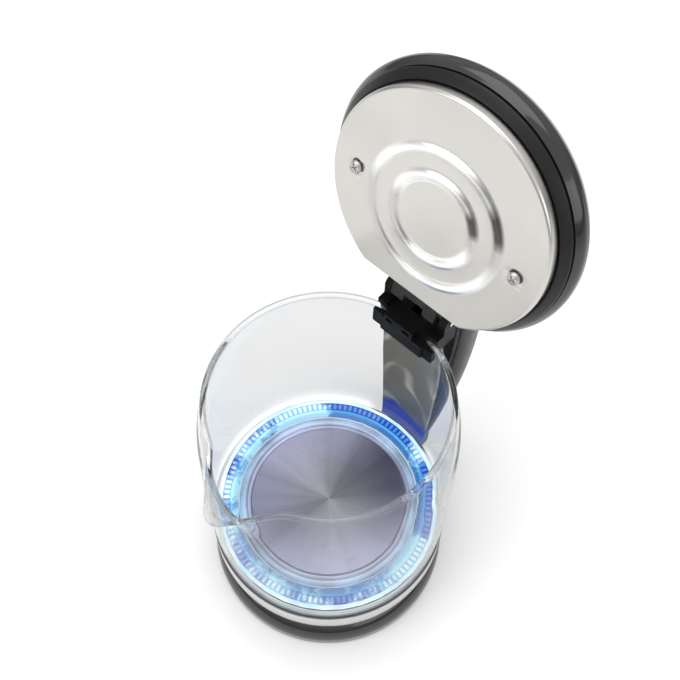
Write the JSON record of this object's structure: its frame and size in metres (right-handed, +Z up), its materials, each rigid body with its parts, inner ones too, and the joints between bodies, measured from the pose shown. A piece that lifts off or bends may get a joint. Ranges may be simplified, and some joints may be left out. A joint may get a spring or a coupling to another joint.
{
  "type": "electric kettle",
  "caption": "Glass jug kettle on a round power base, with a moulded pouring spout, a D-shaped handle, a hinged steel-lined lid standing open, and a lit ring round the heating plate.",
  "frame": {"origin": "on the table, on the kettle's upright axis, 1 mm under the hub of the power base's underside", "axes": "+Z up along the kettle's axis, +X towards the handle and the lid's hinge, spout towards -X, +Y across the kettle"},
  "size_m": [0.2119, 0.152, 0.3507],
  "materials": {
    "gloss_black": "moulded, high gloss",
    "matte_black": "moulded, fine satin",
    "handle_black": "moulded, satin sheen",
    "strap_grey": "moulded, satin grey",
    "lid_steel": "pressed sheet, fine satin",
    "brushed_steel": "brushed",
    "polished_steel": "bright plated",
    "jug_glass": "clear, polished",
    "light_lens": "frosted, toothed, lit blue",
    "led_blue": "lit blue",
    "silicone": "translucent white silicone",
    "rubber_foot": "matt",
    "spreader_aluminium": "as rolled",
    "contact_brass": "bright",
    "board_green": "solder mask"
  },
  "bodies": {
    "power_base": {"base_cover": "gloss_black", "base_bottom": "matte_black", "base_connector": "matte_black", "cord_inlet": "matte_black", "base_foot_1": "rubber_foot", "base_foot_2": "rubber_foot", "base_foot_3": "rubber_foot", "base_foot_4": "rubber_foot", "base_screw_1": "polished_steel", "base_screw_2": "polished_steel", "base_screw_3": "polished_steel"},
    "jug": {"glass_jug": "jug_glass", "jug_collar": "gloss_black", "steel_band": "brushed_steel", "jug_bottom": "matte_black", "jug_screw_1": "polished_steel", "jug_screw_2": "polished_steel", "jug_screw_3": "polished_steel", "jug_socket": "matte_black", "earth_pin": "contact_brass", "live_ring": "contact_brass", "thermostat_body": "matte_black", "bimetal_disc_left": "spreader_aluminium", "bimetal_disc_right": "spreader_aluminium", "heater_plate": "brushed_steel", "heat_spreader": "spreader_aluminium", "heating_element": "brushed_steel", "plate_seal": "silicone", "glass_seal": "silicone", "led_lens": "light_lens", "led_board": "board_green", "led_1": "led_blue", "led_2": "led_blue", "led_3": "led_blue", "led_4": "led_blue", "led_5": "led_blue", "led_6": "led_blue", "handle_shell": "handle_black", "handle_liner": "matte_black", "handle_strap": "strap_grey", "steam_tube": "silicone", "handle_screw_left": "polished_steel", "handle_screw_right": "polished_steel", "hinge_bracket": "matte_black", "hinge_pin": "polished_steel", "hinge_spring": "polished_steel", "bracket_screw_left": "polished_steel", "bracket_screw_right": "polished_steel", "button_spring": "polished_steel", "switch_housing": "matte_black", "switch_pin": "polished_steel"},
    "lid": {"lid_plate": "lid_steel", "lid_frame": "matte_black", "lid_cover": "gloss_black", "lid_screw_left": "polished_steel", "lid_screw_right": "polished_steel"},
    "lid_button": {"lid_button": "matte_black"},
    "power_switch": {"power_switch": "matte_black"}
  },
  "joints": [
    {"name": "jug_lift", "type": "slide", "parent": "power_base", "child": "jug", "axis": [0, 0, 1], "range_m": [0, 0.08]},
    {"name": "lid_hinge", "type": "hinge", "parent": "jug", "child": "lid", "pos_m": [0.071, 0, 0.2124], "axis": [0, 1, 0], "range_deg": [-102.5, 0], "stiffness_Nm_per_rad": 0.04, "springref_deg": 28.65},
    {"name": "lid_button_press", "type": "slide", "parent": "jug", "child": "lid_button", "axis": [0, 0, -1], "range_m": [0, 0.0022], "stiffness_N_per_m": 400, "springref_m": -0.002, "deforming": ["button_spring"]},
    {"name": "power_switch_rock", "type": "hinge", "parent": "jug", "child": "power_switch", "pos_m": [0.082, 0, 0.031], "axis": [0, 1, 0], "range_deg": [-12, 0]}
  ]
}
